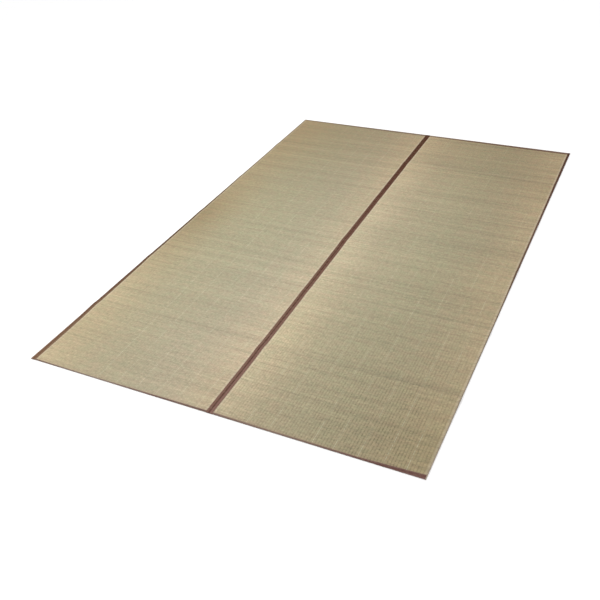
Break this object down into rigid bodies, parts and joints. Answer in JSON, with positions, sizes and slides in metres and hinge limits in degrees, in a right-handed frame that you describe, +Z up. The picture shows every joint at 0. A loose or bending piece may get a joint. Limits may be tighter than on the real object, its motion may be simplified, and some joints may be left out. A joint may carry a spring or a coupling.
{
  "type": "rush grass carpet",
  "caption": "Flat floor carpet of ribbed woven rush panels joined side by side, bound in folded brown cloth tape round its edges and along its joint.",
  "frame": {"origin": "centre of the carpet's underside, on the floor", "axes": "+X runs across both panels to the right, +Y runs along the panels from the front end to the back end, +Z is up"},
  "size_m": [1.76, 2.61, 0.0036],
  "materials": {
    "rush": "dull dried rush, woven in ribs",
    "tape": "plain woven cloth tape"
  },
  "bodies": {
    "root": {"rush_left": "rush", "rush_right": "rush", "side_tape_left": "tape", "side_tape_right": "tape", "seam_tape_left": "tape", "seam_tape_right": "tape", "end_tape_front_left": "tape", "end_tape_front_right": "tape", "end_tape_back_left": "tape", "end_tape_back_right": "tape"}
  },
  "joints": []
}
